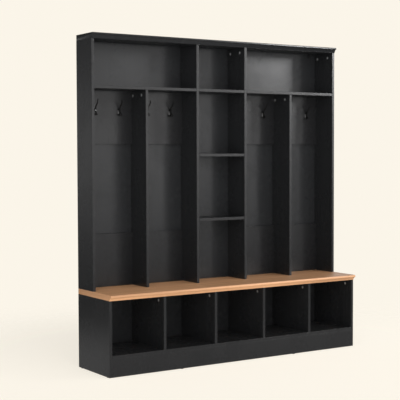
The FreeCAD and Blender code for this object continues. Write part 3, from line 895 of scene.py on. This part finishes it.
def hook_plate(bm):
    """An oval plate, domed right across: a bevel from the rim almost to the middle, pressed to a low dome."""
    straight = (plate_height - plate_width) / 2
    disc = bmesh.ops.create_circle(bm, cap_ends=True, radius=plate_width / 2, segments=plate_sides)["verts"]
    half_side = Matrix.Rotation(math.pi / plate_sides, 3, "Z")
    bmesh.ops.rotate(bm, verts=disc, matrix=half_side)
    for sign in (-1, 1):
        half = [v for v in disc if v.co.y * sign > 0]
        bmesh.ops.translate(bm, verts=half, vec=(0, sign * straight, 0))
    back = set(disc)
    pulled = bmesh.ops.extrude_face_region(bm, geom=[disc[0].link_faces[0]])["geom"]
    front = [item for item in pulled if isinstance(item, bmesh.types.BMVert)]
    round_off = plate_width * dome_share
    bmesh.ops.translate(bm, verts=front, vec=(0, 0, round_off))
    rim = list({e for v in front for e in v.link_edges if all(w in front for w in e.verts)})
    bmesh.ops.bevel(bm, geom=rim, offset=round_off * nearly_share, segments=dome_steps, profile=0.5,
                    affect="EDGES", material=-1)
    bmesh.ops.scale(bm, verts=bm.verts[:], vec=(1, 1, plate_dome / round_off))
    raised = [v for v in bm.verts if v not in back]
    bmesh.ops.translate(bm, verts=raised, vec=(0, 0, plate_rim))
    bmesh.ops.rotate(bm, verts=bm.verts[:], matrix=Matrix.Rotation(quarter_turn, 3, "X"))
    bmesh.ops.translate(bm, verts=bm.verts[:], vec=(0, 0, -plate_drop))


print("hook plate:", plate_width, "x", plate_height, "m")

# %% [markdown]
# ## Bars and balls
#
# The prongs are round bars that bend and narrow, and end in balls. A curve with a bevel makes such a bar
# too. Pulling a ring of edges round a centre, step by step, does it with the same operators as the rest,
# and the ring can narrow as it goes.

# %% Bars and balls
ball_sides, ball_rings, bar_sides = 24, 14, 18


def at_hook(reach, rise, side=0.0):
    """A place on a hook, from the middle of its plate on the rail's face."""
    return Vector((side, -reach, rise))


def ball(bm, place, radius):
    bmesh.ops.create_uvsphere(bm, u_segments=ball_sides, v_segments=ball_rings, radius=radius,
                              matrix=Matrix.Translation(place))


def open_ring(bm, place, radius):
    """A level ring of edges to start a bar from."""
    made = bmesh.ops.create_circle(bm, cap_ends=False, radius=radius, segments=bar_sides,
                                   matrix=Matrix.Translation(place))["verts"]
    return list({edge for vert in made for edge in vert.link_edges})


def bend_bar(bm, ring, centre, angle, steps, narrowing):
    """Pulls a ring round a centre, step by step, and narrows it as it goes."""
    for _ in range(steps):
        pulled = bmesh.ops.extrude_edge_only(bm, edges=ring)["geom"]
        verts = [item for item in pulled if isinstance(item, bmesh.types.BMVert)]
        edges = [item for item in pulled if isinstance(item, bmesh.types.BMEdge)]
        ring = [edge for edge in edges if all(v in verts for v in edge.verts)]
        bmesh.ops.rotate(bm, verts=verts, cent=centre, matrix=Matrix.Rotation(angle / steps, 3, "X"))
        middle = sum((v.co for v in verts), Vector()) / len(verts)
        bmesh.ops.scale(bm, verts=verts, vec=(narrowing,) * 3, space=Matrix.Translation(-middle))
    return ring


def close_bars(bm):
    """Closes the open ends of the bars."""
    bmesh.ops.holes_fill(bm, edges=[edge for edge in bm.edges if edge.is_boundary], sides=0)


print("bars of", bar_sides, "sides, balls of", ball_sides, "by", ball_rings)

# %% [markdown]
# ## The prongs
#
# Both prongs leave a boss on the upper half of the plate. The tall one leans forward and ends upright, for
# a coat's loop, and the short one comes forward below it with a larger ball, for a bag. Bends of real hooks
# are plain arcs, so each is worked out from its two ends: one arc for the short prong, two equal ones for
# the tall.

# %% Prongs
boss_radius, boss_reach, boss_rise = 0.0058, 0.010, 0.012
boss_flare_share, boss_sides = 1.35, 28
prong_root, prong_tip, prong_rise, prong_reach, prong_ball = 0.0036, 0.0028, 0.061, 0.038, 0.0041
curl_root, curl_neck, curl_reach, curl_drop, curl_ball = 0.0042, 0.0034, 0.019, 0.0145, 0.0074
prong_steps, curl_steps = 9, 8


def hook_boss(bm):
    """A short stub that widens towards the plate, with a ball on its end."""
    middle = at_hook(boss_reach / 2, boss_rise)
    forward = Matrix.Translation(middle) @ Matrix.Rotation(quarter_turn, 4, "X")
    bmesh.ops.create_cone(bm, cap_ends=True, segments=boss_sides, radius1=boss_radius * boss_flare_share,
                          radius2=boss_radius, depth=boss_reach, matrix=forward)
    ball(bm, at_hook(boss_reach, boss_rise), boss_radius)


def upper_prong(bm):
    """Two equal arcs that leave the boss upwards, lean forward and end upright again."""
    root, tip = at_hook(boss_reach, boss_rise), at_hook(prong_reach, prong_rise)
    half_chord = (tip - root) / 2
    lean = math.atan2(-half_chord.y, half_chord.z)
    radius = half_chord.length / (2 * math.sin(lean))
    narrowing = (prong_tip / prong_root) ** (1 / (2 * prong_steps))
    ring = open_ring(bm, root, prong_root)
    ring = bend_bar(bm, ring, root + Vector((0, -radius, 0)), 2 * lean, prong_steps, narrowing)
    bend_bar(bm, ring, tip + Vector((0, radius, 0)), -2 * lean, prong_steps, narrowing)
    ball(bm, tip, prong_ball)


def lower_curl(bm):
    """One arc that leaves the boss downwards and comes forward to the ball."""
    root, end = at_hook(boss_reach, boss_rise), at_hook(curl_reach, -curl_drop)
    chord = end - root
    lean = math.atan2(-chord.y, -chord.z)
    radius = chord.length / (2 * math.sin(lean))
    narrowing = (curl_neck / curl_root) ** (1 / curl_steps)
    ring = open_ring(bm, root, curl_root)
    bend_bar(bm, ring, root + Vector((0, -radius, 0)), -2 * lean, curl_steps, narrowing)
    ball(bm, end, curl_ball)


print("prongs:", prong_rise, "m up and", curl_drop, "m down")

# %% [markdown]
# ## Casting a hook
#
# Castings have no sharp inner corners. Joining the parts with a Boolean would leave a crease at every join.
# A voxel remesh melts the overlapping forms into one skin instead, and a little smoothing rounds the joins,
# which is close to what a mould does. The two screws need flat seats on the dome, and those are crisp,
# because a cutter makes them after the casting, so there a Boolean is right.

# %% Cast hook
seat_spread, seat_radius, seat_reach, seat_depth, seat_sides = 0.010, 0.0033, 0.0039, 0.0012, 36
cast_voxel = 0.0008
polish_factor, polish_rounds = 0.5, 6


def screw_seats():
    """A cutter for the two flat seats, side by side on the dome, that the screws' heads lie on."""
    bm = bmesh.new()
    for side in (-seat_spread / 2, seat_spread / 2):
        middle = at_hook(seat_reach + seat_depth / 2, 0.0, side)
        forward = Matrix.Translation(middle) @ Matrix.Rotation(quarter_turn, 4, "X")
        bmesh.ops.create_cone(bm, cap_ends=True, segments=seat_sides, radius1=seat_radius,
                              radius2=seat_radius, depth=seat_depth, matrix=forward)
    return add_piece("seat_cutter", bm, finishes["black_hook_metal"])


def cast_hook():
    """The mesh of one hook about its plate's middle, melted into one skin."""
    bm = bmesh.new()
    for part in (hook_plate, hook_boss, upper_prong, lower_curl, close_bars):
        part(bm)
    bmesh.ops.recalc_face_normals(bm, faces=bm.faces[:])
    rough = add_piece("hook_pattern", bm, finishes["black_hook_metal"])
    melt = rough.modifiers.new("melt", "REMESH")
    melt.mode, melt.voxel_size = "VOXEL", cast_voxel
    polish = rough.modifiers.new("polish", "SMOOTH")
    polish.factor, polish.iterations = polish_factor, polish_rounds
    cutter = screw_seats()
    spot_face = rough.modifiers.new("spot_face", "BOOLEAN")
    spot_face.operation, spot_face.solver, spot_face.object = "DIFFERENCE", "EXACT", cutter
    mesh = bpy.data.meshes.new_from_object(rough.evaluated_get(bpy.context.evaluated_depsgraph_get()))
    bpy.data.objects.remove(rough)
    bpy.data.objects.remove(cutter)
    mesh.shade_smooth()
    mesh.set_sharp_from_angle(angle=smooth_angle)
    return mesh


hook_mesh = cast_hook()
print("hook:", len(hook_mesh.polygons), "faces")

# %% [markdown]
# ## Hooks in place
#
# There are eight hooks, two to a bay. Objects that share one mesh would be lighter, but a finished piece
# has its place in its mesh, so each gets a copy, moved to where the CAD hook is.

# %% Hooks in place
hook_count = 8
cad_tip = 0.0042                                # radius of the CAD prong's tip
rail_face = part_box("hook_rail_1")[0].y
hook_names = [f"coat_hook_{n + 1}" for n in range(hook_count)]
for name in hook_names:
    low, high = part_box(name)
    mesh = hook_mesh.copy()
    plate_middle = high.z - prong_rise - cad_tip
    mesh.transform(Matrix.Translation(((low.x + high.x) / 2, rail_face, plate_middle)))
    hook = bpy.data.objects.new(name + "_cast", mesh)
    mesh.materials.clear()
    mesh.materials.append(finishes["black_hook_metal"])
    scene.collection.objects.link(hook)
    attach(hook, "carcass")
    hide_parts(name)
print("hooks:", len(hook_names), "of", len(hook_mesh.polygons), "faces")

# %% Sizes
low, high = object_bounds()
print("visual size", [round(v, 4) for v in high - low])
